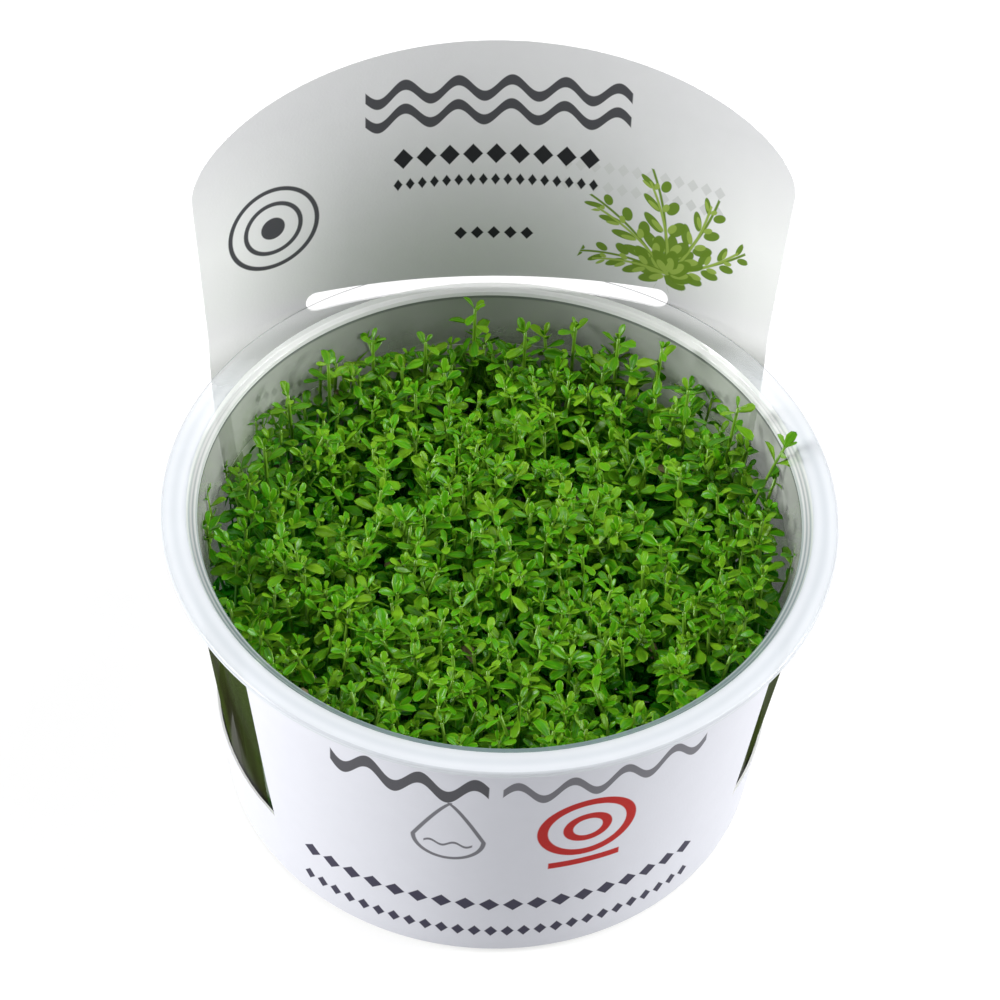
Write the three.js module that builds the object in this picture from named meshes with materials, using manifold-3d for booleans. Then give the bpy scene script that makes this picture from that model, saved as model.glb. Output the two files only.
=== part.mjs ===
// Dwarf baby tears grown in a clear cup with a wide flange, held in a card sleeve with a tall header.
// Millimetres, +Z up. The origin is the centre of the cup's foot, and -Y is the side of the front panel.
import * as THREE from 'three'
import Module from 'manifold-3d'
import { mergeVertices } from 'three/addons/utils/BufferGeometryUtils.js'

const wasm = await Module()
wasm.setup()

// Cup
const CUP_HEIGHT = 56.5
const CUP_SEGMENTS = 40
const FOOT_RADIUS = 41.35
const FOOT_FLAT_RADIUS = 39.5
const FLANGE_RADIUS = 50.5
const FLANGE_THICKNESS = 1.2
const MOUTH_RADIUS = 45.1
const MOUTH_DROP = 1.4
const BAND_OUTER_RADIUS = 46.4
const SHOULDER_DROP = 11.5
const SHOULDER_RADIUS = 45.5
const SHOULDER_STEP = 0.4
const WALL = 1.1
const FLOOR = 1.3

// Sleeve
const CARD = 0.5
const SLEEVE_BOTTOM = 1
const SLEEVE_FOOT_RADIUS = 41.85
const SLEEVE_DRAFT = 0.095
const STRAP_TOP = 15
const NOTCH_FILLET = 8
const FRONT_HALF_ANGLE = 55.5
const FRONT_TURN = 1.8
const FRONT_SLANT = 2.6
const FRONT_TOP = CUP_HEIGHT - FLANGE_THICKNESS - 0.7
const FRONT_CORNER = 5
const HEADER_BEND_RADIUS = 80
const HEADER_STAND_OFF = 0.3
const HEADER_FOOT_HALF_WIDTH = 46.3
const HEADER_HALF_WIDTH = 48.3
const HEADER_ARCH_START = 28
const HEADER_ARCH_RISE = 17.7
const SLOT_HALF_LENGTH = 29.2
const SLOT_HALF_HEIGHT = 1.9
const SLOT_CENTRE = CUP_HEIGHT + 0.15

// Grid of the card: heights of its bends between the strap and the slot, and how many cells high it is
const BACK_PANEL_ROWS = [33, 44]
const SLOT_CELL = 4
const HEADER_CELLS = 8
const FRONT_CELLS = 2
const STRAP_CELLS = 1

// Plants and gel
const GAP = 0.3
const GEL_TOP = 14
const CANOPY_MEAN = CUP_HEIGHT - 13.5
const CANOPY_SWELL = 1.2
const CANOPY_RADIUS = 42.3
const CANOPY_ROUNDING = 2.5
const CANOPY_RINGS = 4
const CANOPY_SEGMENTS = 24
const ROSETTES = 74
const ROSETTE_REACH = 4.8
const ROSETTE_MARGIN = 3.5
const ROSETTE_ROOT = 1
const ROSETTE_LOWEST = 3.9
const ROSETTE_SPREAD = 3
const LEAF_LENGTH = 3.6
const LEAF_WIDTH = 1.9
const LEAF_FOLD = 0.35
const LEAF_KEEL = 0.3
const LEAF_SPREAD = 0.34
const STEM_RADIUS = 0.45
const STEM_SIDES = 4
const STEM_RINGS = 3
const BARE_STEM = 4.5
const INTERNODE = 3.8
const GOLDEN_ANGLE = Math.PI * (3 - Math.sqrt(5))

// Each tall shoot: azimuth in degrees from the header towards +X, distance from the axis, height of its
// tip over the flange, and how far its tip leans outwards
const SHOOTS = [
  [-3, 39, 2.5, 0.5],
  [9, 37, 0.5, -0.5],
  [20, 39, 0, 1],
  [31, 38.5, 1.5, 0.5],
  [42, 38.5, 3.5, 1],
  [54, 37, 2, 0],
  [66, 39, 3.5, 1.5],
  [78, 39.5, 2.5, 5],
  [92, 39, -2.5, 0.5],
  [-15, 38, -2, 0],
  [-27, 39.5, -0.5, 0.5],
  [-39, 39.5, -1, 0.5],
  [-51, 39.5, -2, 1],
  [-66, 38, -3, 0.5],
  [125, 33, -3, -1],
  [-100, 30, -3, 1],
  [10, 21, -2.5, -1],
  [-150, 26, -3, 1],
  [80, 14, -2.5, 1],
  [178, 35, -3, -0.5],
]

const material = (color, roughness, extra = {}) =>
  new THREE.MeshStandardMaterial({ color, roughness, metalness: 0, ...extra })
const clearPlastic = material(0xdfe6e6, 0.12, { transparent: true, opacity: 0.35 })
const whiteCard = material(0xe9e8ef, 0.5)
const gel = material(0xb9c49a, 0.2, { transparent: true, opacity: 0.6 })
const leafGreen = material(0x4f9a1c, 0.45)
const shootGreen = material(0x69b02a, 0.45)

// A repeatable random number from 0 to 1
function randomFrom(seed) {
  let state = seed
  return () => {
    state = (state + 0x6d2b79f5) | 0
    let t = Math.imul(state ^ (state >>> 15), 1 | state)
    t = (t + Math.imul(t ^ (t >>> 7), 61 | t)) ^ t
    return ((t ^ (t >>> 14)) >>> 0) / 4294967296
  }
}

// Welds shared corners and drops faces that have collapsed to a line
function weld(geometry) {
  geometry.deleteAttribute('normal')
  geometry.deleteAttribute('uv')
  const welded = mergeVertices(geometry, 1e-4)
  const old = welded.index.array
  const kept = []
  for (let i = 0; i < old.length; i += 3) {
    const [a, b, c] = [old[i], old[i + 1], old[i + 2]]
    if (a !== b && b !== c && c !== a) kept.push(a, b, c)
  }
  welded.setIndex(kept)
  return welded
}

function toManifold(geometry) {
  const welded = weld(geometry)
  return new wasm.Manifold(new wasm.Mesh({
    numProp: 3,
    vertProperties: new Float32Array(welded.attributes.position.array),
    triVerts: new Uint32Array(welded.index.array),
  }))
}

function facesOver(positions, index) {
  const geometry = new THREE.BufferGeometry()
  geometry.setAttribute('position', new THREE.Float32BufferAttribute(positions, 3))
  geometry.setIndex(index)
  return geometry
}

function fromManifold(solid) {
  const mesh = solid.getMesh()
  return facesOver(mesh.vertProperties, Array.from(mesh.triVerts))
}

// A solid of revolution about +Z from points of radius and height
function turned(points, segments) {
  const geometry = new THREE.LatheGeometry(points.map(([r, z]) => new THREE.Vector2(r, z)), segments)
  geometry.rotateX(Math.PI / 2)
  return weld(geometry)
}

function cupGeometry() {
  const top = CUP_HEIGHT
  const shoulder = top - SHOULDER_DROP
  const under = top - FLANGE_THICKNESS
  return turned([
    [0, 0],
    [FOOT_FLAT_RADIUS, 0],
    [FOOT_RADIUS, 1.8],
    [SHOULDER_RADIUS - SHOULDER_STEP, shoulder - 1.8],
    [SHOULDER_RADIUS, shoulder],
    [BAND_OUTER_RADIUS, under],
    [FLANGE_RADIUS, under],
    [FLANGE_RADIUS, top - 0.3],
    [FLANGE_RADIUS - 0.3, top],
    [MOUTH_RADIUS + 1.7, top],
    [MOUTH_RADIUS + 1.2, top - 0.8],
    [MOUTH_RADIUS + 0.3, top - 0.9],
    [MOUTH_RADIUS, top - MOUTH_DROP],
    [SHOULDER_RADIUS - WALL, shoulder],
    [SHOULDER_RADIUS - SHOULDER_STEP - WALL, shoulder - 1.8],
    [FOOT_RADIUS - WALL, 3.2],
    [FOOT_RADIUS - WALL - 1.9, FLOOR],
    [0, FLOOR],
  ], CUP_SEGMENTS)
}

// Inside radius of the cup below its shoulder
function wellRadius(z) {
  const high = CUP_HEIGHT - SHOULDER_DROP - 1.8
  const t = THREE.MathUtils.clamp((z - 3.2) / (high - 3.2), 0, 1)
  return THREE.MathUtils.lerp(FOOT_RADIUS, SHOULDER_RADIUS - SHOULDER_STEP, t) - WALL
}

const sleeveRadius = (z) => SLEEVE_FOOT_RADIUS + SLEEVE_DRAFT * (z - SLEEVE_BOTTOM)

// Bend of the back panel: the cup's own curve at the straps, nearly flat at the flange and above it
function backBend(z) {
  const t = THREE.MathUtils.smoothstep(z, STRAP_TOP, CUP_HEIGHT)
  return THREE.MathUtils.lerp(sleeveRadius(z), HEADER_BEND_RADIUS, t)
}

// A point of the back panel or header, from its distance along the card and its height
function onBackPanel(along, z) {
  const bend = backBend(z)
  const [nx, ny] = [Math.sin(along / bend), Math.cos(along / bend)]
  const standOff = HEADER_STAND_OFF * THREE.MathUtils.smoothstep(z, STRAP_TOP, CUP_HEIGHT)
  const centre = sleeveRadius(z) + standOff - bend
  return { x: bend * nx, y: centre + bend * ny, nx, ny, z }
}

// A point of the straps or the front panel, from its azimuth off the header and its height
function onWrap(angle, z) {
  const radius = sleeveRadius(z)
  const [nx, ny] = [Math.sin(angle), Math.cos(angle)]
  return { x: radius * nx, y: radius * ny, nx, ny, z }
}

function headerHalfWidth(z) {
  const t = THREE.MathUtils.clamp((z - CUP_HEIGHT) / HEADER_ARCH_START, 0, 1)
  return THREE.MathUtils.lerp(HEADER_FOOT_HALF_WIDTH, HEADER_HALF_WIDTH, t)
}

// Heights of the card's grid lines at a place across the header, -1 to 1
function headerRows(across) {
  const along = Math.abs(across) * HEADER_FOOT_HALF_WIDTH
  const past = Math.max(0, along - (SLOT_HALF_LENGTH - SLOT_HALF_HEIGHT)) / SLOT_HALF_HEIGHT
  const half = SLOT_HALF_HEIGHT * Math.sqrt(Math.max(0, 1 - Math.min(past, 1) ** 2))
  const spread = past < 1 ? half : 0.6
  const arch = HEADER_ARCH_RISE * Math.sqrt(Math.max(0, 1 - across * across))
  const archStart = CUP_HEIGHT + HEADER_ARCH_START
  return [
    SLEEVE_BOTTOM, STRAP_TOP + NOTCH_FILLET, ...BACK_PANEL_ROWS,
    SLOT_CENTRE - spread, SLOT_CENTRE + spread,
    archStart, archStart + arch / 2, archStart + arch,
  ]
}

function headerColumn(across) {
  const point = (z) => onBackPanel(across * headerHalfWidth(z), z)
  return { kind: 'header', across, points: headerRows(across).map(point) }
}

// Azimuth where the back panel gives way to the strap
const panelEdge = (z) => HEADER_FOOT_HALF_WIDTH / sleeveRadius(z)

function strapTop(distance) {
  const near = Math.max(0, 1 - distance / NOTCH_FILLET)
  return STRAP_TOP + NOTCH_FILLET * (1 - Math.sqrt(1 - near * near))
}

// Where the front panel's edge is between the back panel's edge and the middle of the front
const FRONT_SHARE = 1 - THREE.MathUtils.degToRad(FRONT_HALF_ANGLE) / (Math.PI - panelEdge(STRAP_TOP))

// A column of the wrap: share 0 at the back panel's edge, 1 at the middle of the front. The front panel
// sits a little towards +X, and its edges slant outwards from the strap up.
function wrapColumn(side, share, kind, frontTop = FRONT_TOP) {
  const edge = panelEdge(STRAP_TOP)
  const top = strapTop(share * (Math.PI - edge) * sleeveRadius(STRAP_TOP))
  const rows = kind === 'front' ? [SLEEVE_BOTTOM, top, frontTop] : [SLEEVE_BOTTOM, top]
  const turn = THREE.MathUtils.degToRad(FRONT_TURN) * Math.min(1, share / FRONT_SHARE)
  const toEdge = kind === 'front' ? Math.min(1, (1 - share) / (1 - FRONT_SHARE)) : 0
  const point = (z) => {
    const low = panelEdge(Math.min(z, STRAP_TOP + NOTCH_FILLET))
    const rise = THREE.MathUtils.clamp((z - STRAP_TOP) / (FRONT_TOP - STRAP_TOP), 0, 1)
    const slant = THREE.MathUtils.degToRad(FRONT_SLANT) * (0.5 - rise) * toEdge
    return onWrap(side * (THREE.MathUtils.lerp(low, Math.PI, share) + slant) - turn, z)
  }
  return { kind, points: rows.map(point) }
}

// All columns of the card in order round the cup, starting at the middle of the front
function sleeveColumns() {
  const mmToShare = 1 / ((Math.PI - panelEdge(STRAP_TOP)) * sleeveRadius(STRAP_TOP))
  const half = []
  for (const mm of [3, NOTCH_FILLET, 13, 18, 23, 28, 33, 38, 43]) half.push([mm * mmToShare, 'strap'])
  for (const mm of [0, 0.8, 2.4, FRONT_CORNER]) {
    const top = FRONT_TOP - FRONT_CORNER + Math.sqrt(FRONT_CORNER ** 2 - (FRONT_CORNER - mm) ** 2)
    half.push([FRONT_SHARE + mm * mmToShare, 'front', top])
  }
  const last = half.at(-1)[0]
  for (let i = 1; i < 8; i++) half.push([THREE.MathUtils.lerp(last, 1, i / 8), 'front', FRONT_TOP])
  const side = (sign) => half.map(([share, kind, top]) => wrapColumn(sign, share, kind, top))
  const slotEnd = SLOT_HALF_LENGTH / HEADER_FOOT_HALF_WIDTH
  const slotRound = (SLOT_HALF_LENGTH - SLOT_HALF_HEIGHT) / HEADER_FOOT_HALF_WIDTH
  const slotColumns = [0.13, 0.26, 0.39, 0.51, slotRound, slotRound + 0.03, slotEnd]
  const across = [...slotColumns, 0.74, 0.83, 0.91, 0.96, 0.99, 1]
  const right = across.map(headerColumn)
  const left = across.map((u) => headerColumn(-u)).reverse()
  const middle = [headerColumn(0)]
  return [wrapColumn(1, 1, 'front'), ...side(-1).reverse(), ...left, ...middle, ...right, ...side(1)]
}

// Whether the card is there between two columns and two rows
function cardIsThere(a, b, row) {
  if (a.kind === 'header' && b.kind === 'header') {
    const along = Math.abs(a.across + b.across) / 2 * HEADER_FOOT_HALF_WIDTH
    return row < HEADER_CELLS && !(row === SLOT_CELL && along < SLOT_HALF_LENGTH)
  }
  return row < (a.kind === 'front' && b.kind === 'front' ? FRONT_CELLS : STRAP_CELLS)
}

// The card as one closed skin: both faces of each grid cell, and a wall wherever a cell has no neighbour
function sleeveGeometry() {
  const columns = sleeveColumns()
  const count = columns.length
  const positions = []
  const column = (i) => columns[(i + count) % count]
  const corner = (i, row, side) => {
    const p = column(i).points[row]
    return [p.x + side * CARD / 2 * p.nx, p.y + side * CARD / 2 * p.ny, p.z]
  }
  const quad = (a, b, c, d) => positions.push(...a, ...b, ...c, ...a, ...c, ...d)
  const there = (i, row) => row >= 0 && cardIsThere(column(i), column(i + 1), row)
  for (let i = 0; i < count; i++) {
    for (let row = 0; row < HEADER_CELLS; row++) {
      if (!there(i, row)) continue
      const [lowOut, lowOutNext] = [corner(i, row, 1), corner(i + 1, row, 1)]
      const [highOut, highOutNext] = [corner(i, row + 1, 1), corner(i + 1, row + 1, 1)]
      const [lowIn, lowInNext] = [corner(i, row, -1), corner(i + 1, row, -1)]
      const [highIn, highInNext] = [corner(i, row + 1, -1), corner(i + 1, row + 1, -1)]
      quad(lowOut, highOut, highOutNext, lowOutNext)
      quad(lowIn, lowInNext, highInNext, highIn)
      if (!there(i, row - 1)) quad(lowOut, lowOutNext, lowInNext, lowIn)
      if (!there(i, row + 1)) quad(highOut, highIn, highInNext, highOutNext)
      if (!there(i - 1, row)) quad(lowOut, lowIn, highIn, highOut)
      if (!there(i + 1, row)) quad(lowOutNext, highOutNext, highInNext, lowInNext)
    }
  }
  const geometry = new THREE.BufferGeometry()
  geometry.setAttribute('position', new THREE.Float32BufferAttribute(positions, 3))
  return weld(geometry)
}

function gelGeometry() {
  const low = FLOOR + GAP
  return turned([
    [0, low],
    [FOOT_RADIUS - WALL - 2.4, low],
    [wellRadius(4) - GAP, 4],
    [wellRadius(GEL_TOP) - GAP, GEL_TOP],
    [0, GEL_TOP],
  ], CUP_SEGMENTS)
}

// Height of the mat under the leaves: gentle swells
function canopyHeight(x, y) {
  const swell = Math.sin(x * 0.11 + 1.3) * Math.cos(y * 0.09 - 0.4)
  return CANOPY_MEAN + CANOPY_SWELL * swell
}

// The mat's body: a drum that fills the cup over the gel, with a gently uneven top
function canopyGeometry() {
  const low = GEL_TOP + GAP
  const profile = [[0, low], [wellRadius(low) - 0.8, low], [CANOPY_RADIUS, CANOPY_MEAN - 4]]
  for (let ring = CANOPY_RINGS; ring >= 0; ring--) {
    profile.push([CANOPY_RADIUS * ring / CANOPY_RINGS, CANOPY_MEAN])
  }
  const geometry = turned(profile, CANOPY_SEGMENTS)
  const position = geometry.attributes.position
  for (let i = 0; i < position.count; i++) {
    if (position.getZ(i) < CANOPY_MEAN - 0.01) continue
    const [x, y] = [position.getX(i), position.getY(i)]
    const rounding = Math.hypot(x, y) > CANOPY_RADIUS - 1 ? CANOPY_ROUNDING : 0
    position.setZ(i, canopyHeight(x, y) - rounding)
  }
  return geometry
}

// One leaf along +X from the origin: folded along its middle, widest past its half, with a keel below
function leafGeometry(length) {
  const wide = 0.62 * length
  const half = LEAF_WIDTH / LEAF_LENGTH * length / 2
  const edge = 0.1 * length + LEAF_FOLD
  const [root, tip, keel] = [[0, 0, 0], [length, 0, 0.12 * length], [wide / 2, 0, -LEAF_KEEL]]
  const points = [root, tip, [wide, half, edge], [wide, -half, edge], keel]
  return facesOver(points.flat(), [0, 3, 1, 0, 1, 2, 0, 4, 3, 3, 4, 1, 1, 4, 2, 2, 4, 0])
}

// A leaf placed on a stem by its point, its azimuth and its rise
function leafSolid(length, at, azimuth, rise) {
  const leaf = leafGeometry(length)
  leaf.rotateY(-rise)
  leaf.rotateZ(azimuth)
  leaf.translate(at.x, at.y, at.z)
  return toManifold(leaf)
}

// The top of a short plantlet: four blunt leaves round its tip, drawn down to a point in the mat
function rosetteSolid(at, root, turn, length) {
  const rim = []
  for (let leaf = 0; leaf < 4; leaf++) {
    const reach = leaf % 2 === 0 ? length : 0.85 * length
    const rise = leaf % 2 === 0 ? 0 : 0.25 * length
    const middle = turn + leaf * Math.PI / 2
    rim.push([0.42 * length, middle - Math.PI / 4, -0.1 * length])
    rim.push([reach, middle - LEAF_SPREAD, rise])
    rim.push([reach, middle + LEAF_SPREAD, rise])
  }
  const positions = []
  for (const [r, angle, z] of rim) {
    positions.push(at.x + r * Math.cos(angle), at.y + r * Math.sin(angle), at.z + z)
  }
  positions.push(at.x, at.y, at.z + 0.3 * length, at.x, at.y, root)
  const [crown, point] = [rim.length, rim.length + 1]
  const index = []
  for (let i = 0; i < rim.length; i++) {
    const next = (i + 1) % rim.length
    index.push(i, next, crown, next, i, point)
  }
  return toManifold(facesOver(positions, index))
}

const shootFoot = ([azimuth, radius]) => {
  const angle = THREE.MathUtils.degToRad(azimuth)
  return new THREE.Vector2(radius * Math.sin(angle), radius * Math.cos(angle))
}

// A stem: a tapered four-sided tube from its foot to its tip, bowed the way it leans
function stemSolid(path) {
  const positions = []
  const index = []
  for (let ring = 0; ring <= STEM_RINGS; ring++) {
    const t = ring / STEM_RINGS
    const centre = path(t)
    const radius = STEM_RADIUS * (1 - 0.3 * t)
    for (let i = 0; i < STEM_SIDES; i++) {
      const angle = (i + 0.5) / STEM_SIDES * 2 * Math.PI
      positions.push(centre.x + radius * Math.cos(angle), centre.y + radius * Math.sin(angle), centre.z)
    }
  }
  for (let ring = 0; ring < STEM_RINGS; ring++) {
    for (let i = 0; i < STEM_SIDES; i++) {
      const [a, b] = [ring * STEM_SIDES + i, ring * STEM_SIDES + (i + 1) % STEM_SIDES]
      index.push(a, b, b + STEM_SIDES, a, b + STEM_SIDES, a + STEM_SIDES)
    }
  }
  const last = STEM_RINGS * STEM_SIDES
  index.push(0, 2, 1, 0, 3, 2, last, last + 1, last + 2, last, last + 2, last + 3)
  return toManifold(facesOver(positions, index))
}

// Height of the mat under a shoot's foot
function matTop(mat, foot) {
  const caster = new THREE.Raycaster()
  const corners = [[0, 0], [1, 0], [-1, 0], [0, 1], [0, -1]]
  const heights = corners.map(([dx, dy]) => {
    const from = new THREE.Vector3(foot.x + dx * STEM_RADIUS, foot.y + dy * STEM_RADIUS, 2 * CUP_HEIGHT)
    caster.set(from, new THREE.Vector3(0, 0, -1))
    return caster.intersectObject(mat)[0].point.z
  })
  return Math.max(...heights)
}

// A tall shoot: opposite pairs of leaves, each pair crossed to the one below, and a small pair at the tip
function shootSolid(shoot, mat, random) {
  const [azimuth, radius, height, lean] = shoot
  const foot = shootFoot(shoot)
  const low = matTop(mat, foot) + GAP
  const high = CUP_HEIGHT + height - 0.45 * LEAF_LENGTH
  const path = (t) => {
    const out = foot.clone().multiplyScalar(1 + lean * t * t / radius)
    return new THREE.Vector3(out.x, out.y, THREE.MathUtils.lerp(low, high, t))
  }
  let solid = stemSolid(path)
  const leafy = high - low - BARE_STEM
  const pairs = Math.max(1, Math.round(leafy / INTERNODE))
  const turn = THREE.MathUtils.degToRad(azimuth) + random() * Math.PI
  for (let pair = 0; pair <= pairs; pair++) {
    const t = 1 - pair / pairs * leafy / (high - low)
    const at = path(Math.min(t, 0.985))
    const length = LEAF_LENGTH * (pair === 0 ? 0.62 : 1)
    const rise = pair === 0 ? 1.05 : 0.3
    for (const side of [0, Math.PI]) {
      solid = solid.add(leafSolid(length, at, turn + pair * Math.PI / 2 + side, rise))
    }
  }
  return solid
}

// Rosettes on sunflower-seed places over the mat, set lower or left out where a tall shoot is in the way
function carpetSolid(mat, shoots) {
  const random = randomFrom(7)
  const isFree = (rosette) => shoots.every((shoot) => rosette.intersect(shoot).isEmpty())
  let solid = toManifold(mat.geometry)
  for (let i = 0; i < ROSETTES; i++) {
    const radius = (CANOPY_RADIUS - ROSETTE_MARGIN) * Math.sqrt((i + 0.5) / ROSETTES)
    const place = new THREE.Vector2(radius * Math.cos(i * GOLDEN_ANGLE), radius * Math.sin(i * GOLDEN_ANGLE))
    const turn = random() * Math.PI
    const length = ROSETTE_REACH * (0.9 + 0.2 * random())
    const height = ROSETTE_LOWEST + ROSETTE_SPREAD * random()
    const ground = matTop(mat, place)
    const rosetteAt = (above) => {
      const at = new THREE.Vector3(place.x, place.y, ground + above)
      return rosetteSolid(at, ground - ROSETTE_ROOT, turn, length)
    }
    const rosette = [height, ROSETTE_LOWEST].map(rosetteAt).find(isFree)
    if (rosette) solid = solid.add(rosette)
  }
  return solid
}

function named(name, geometry, finish) {
  const mesh = new THREE.Mesh(geometry, finish)
  mesh.name = name
  return mesh
}

const mat = new THREE.Mesh(canopyGeometry())
const shootRandom = randomFrom(21)
const shoots = SHOOTS.map((shoot) => shootSolid(shoot, mat, shootRandom))

const part = new THREE.Group()
part.add(named('cup', cupGeometry(), clearPlastic))
part.add(named('sleeve', sleeveGeometry(), whiteCard))
part.add(named('medium', gelGeometry(), gel))
part.add(named('carpet', fromManifold(carpetSolid(mat, shoots)), leafGreen))
shoots.forEach((solid, i) => {
  part.add(named(`shoot_${String(i + 1).padStart(2, '0')}`, fromManifold(solid), shootGreen))
})

export default part
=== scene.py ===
# Dwarf baby tears grown in a clear flanged cup, held in a printed card sleeve with a tall header
import math

import bpy
import numpy as np
from mathutils import Matrix, Vector


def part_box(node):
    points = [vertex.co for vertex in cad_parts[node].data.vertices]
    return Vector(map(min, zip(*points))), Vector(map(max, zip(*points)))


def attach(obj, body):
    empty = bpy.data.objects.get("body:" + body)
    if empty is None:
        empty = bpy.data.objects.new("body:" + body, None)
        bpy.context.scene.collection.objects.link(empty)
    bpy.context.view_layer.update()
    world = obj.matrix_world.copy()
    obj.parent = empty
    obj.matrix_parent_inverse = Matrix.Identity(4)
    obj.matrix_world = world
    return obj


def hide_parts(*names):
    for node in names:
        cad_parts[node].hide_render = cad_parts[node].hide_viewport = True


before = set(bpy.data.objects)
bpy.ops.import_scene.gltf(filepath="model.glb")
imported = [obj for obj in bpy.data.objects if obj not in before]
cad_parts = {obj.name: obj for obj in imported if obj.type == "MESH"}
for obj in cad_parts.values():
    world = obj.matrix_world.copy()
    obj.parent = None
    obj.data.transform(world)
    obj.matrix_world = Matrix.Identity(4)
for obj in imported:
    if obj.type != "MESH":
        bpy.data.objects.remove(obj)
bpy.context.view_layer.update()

MM = 0.001
TURN = 2 * math.pi

# Camera, in degrees, millimetres and pixels of a 1000 pixel frame
CAMERA_TURN = -5.0
CAMERA_ELEVATION = 48.26
CAMERA_ROLL = 2.9
CAMERA_DISTANCE = 500.0
CAMERA_FOCAL_PIXELS = 3355.0
CAMERA_AIM_RIGHT = -0.1
CAMERA_AIM_UP = 0.36
FRAME_PIXELS = 1000
SENSOR_WIDTH = 36.0

# Cup, in millimetres
CUP_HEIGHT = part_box("cup")[1][2] / MM
FLANGE_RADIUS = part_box("cup")[1][0] / MM
FOOT_RADIUS = 41.35
FOOT_FLAT_RADIUS = 39.5
FLANGE_THICKNESS = 1.2
MOUTH_RADIUS = 45.1
MOUTH_DROP = 1.4
MOUTH_LINE = 0.5
BAND_OUTER_RADIUS = 46.4
SHOULDER_DROP = 11.5
SHOULDER_RADIUS = 45.5
SHOULDER_STEP = 0.4
SHOULDER_RISE = 1.8
WALL = 1.1
FLOOR = 1.3
FLOOR_CORNER = 3.2
BULGE = 0.6
FLARE_START = 34.0
FLARE_RIGHT = 2.3
FLARE_LEFT = 0.5
FLARE_FRONT = (math.radians(59), math.radians(76))
FLARE_BACK = (math.radians(104), math.radians(117))
CUP_SEGMENTS = 160
GEL_SEGMENTS = 96
WINDOW_END = math.radians(120)

# Sleeve, in millimetres
CARD = 0.36
SLEEVE_BOTTOM = 1.0
SLEEVE_FOOT_RADIUS = 41.85
SLEEVE_DRAFT = 0.095
STRAP_TOP = 15.0
NOTCH_FILLET = 8.0
FRONT_HALF_ANGLE = math.radians(55.5)
FRONT_TOP = CUP_HEIGHT - FLANGE_THICKNESS - 0.7
FRONT_CORNER = 5.0
FRONT_TURN = math.radians(1.8)
FRONT_SLANT = math.radians(2.6)
HEADER_BEND_RADIUS = 80.0
HEADER_STAND_OFF = 0.3
HEADER_FOOT_HALF_WIDTH = 46.3
HEADER_HALF_WIDTH = 48.3
HEADER_ARCH_START = 28.0
HEADER_ARCH_RISE = 17.7
SLOT_HALF_LENGTH = 29.2
SLOT_HALF_HEIGHT = 1.9
SLOT_CENTRE = CUP_HEIGHT + 0.15
SLOT_DIP = 1.3
PAST_SLOT_HALF_HEIGHT = 0.6
SHARP_ANGLE = math.radians(50)

# Gel, and the room between the wall and what the cup holds, in millimetres
GAP = 0.3
GEL_TOP = 14.0

# Clear film: its refractive index and how soon it hides more as it turns away, and in millimetres the
# height of its soft waves, the pitch and height of its mould lines, and the pitch of the fine rings round
# the mouth and of the broad bands on the flange
FILM_IOR = 1.55
FILM_BLEND = 0.35
FILM_WAVES = 0.05
RIPPLE_PITCH = 1.3
RIPPLE_HEIGHT = 0.006
MOUTH_RING_PITCH = 0.55
FLANGE_BAND_PITCH = 2.1

# Card and inks. The front's white is darker than the header's on the same card: painted shade on the front,
# while its lavender tint is the card's own
SHADED_FRONT_WHITE = (0.68, 0.69, 0.745)
HEADER_WHITE = (0.78, 0.775, 0.80)
# Colour of painted light on the header's lower sides and at its foot
HEADER_PAINTED_LIGHT_WHITE = (0.98, 0.975, 0.99)
CUT_EDGE_WHITE = (0.97, 0.97, 0.97)
DARK_INK = (0.075, 0.075, 0.085)
GREY_INK = (0.16, 0.16, 0.18)
BLACK_INK = (0.02, 0.02, 0.024)
NIGHT_INK = (0.035, 0.032, 0.06)
RED_INK = (0.44, 0.004, 0.0)
SPRIG_INK = (0.16, 0.27, 0.03)
PALE_SPRIG_INK = (0.34, 0.47, 0.09)
GHOST_INK = (0.70, 0.70, 0.71)
INK_COVER = 0.99
INK_EDGE = 0.08
PRINT_UNIT = 0.01

# Where the header is painted lighter, as painted light on its lower sides and at its foot, in millimetres on
# the flat card
WHITER_SIDE = 22
WHITER_TOP = 92
WHITER_SPREAD = 20
WHITER_FOOT = CUP_HEIGHT + 1.5
WHITER_FOOT_SPREAD = 3.0

# Each printed sprig: its foot on the flat card, direction, length, leaf size and leaf spacing
SPRIGS = (
    ((28, 62), 18, 15, 3.8, 3.2),
    ((28, 62), 50, 18, 4.2, 3.5),
    ((28, 62), 84, 19, 4.4, 3.7),
    ((28, 62), 120, 17, 4.1, 3.4),
    ((28, 62), 160, 13, 3.6, 3.0),
)

# Plants, in millimetres
CANOPY_RADIUS = 43.2
CANOPY_TOP = CUP_HEIGHT - 8.6
CANOPY_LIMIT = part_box("carpet")[1][2] / MM
DEEP_START = CUP_HEIGHT - 11
DEEP_END = CUP_HEIGHT - 20
ROWS_FOOT = 39.0
PLANTLETS = 640
PLACE_SPREAD = 0.8
HEIGHT_SPREAD = 2.0
LEAN_SPREAD = 2.4
BOW_SPREAD = 1.6
TIP_ROOM = 1.5
STEM_RADIUS = 0.36
STEM_SIDES = 6
STEM_RINGS = 8
SHOOT_FOOT = 30.0
WITHERED_SHARE = 0.0015
WITHERED_AGE = 2.0
OLD_DEPTH = 12.0
GOLDEN_ANGLE = math.pi * (3 - math.sqrt(5))

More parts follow.
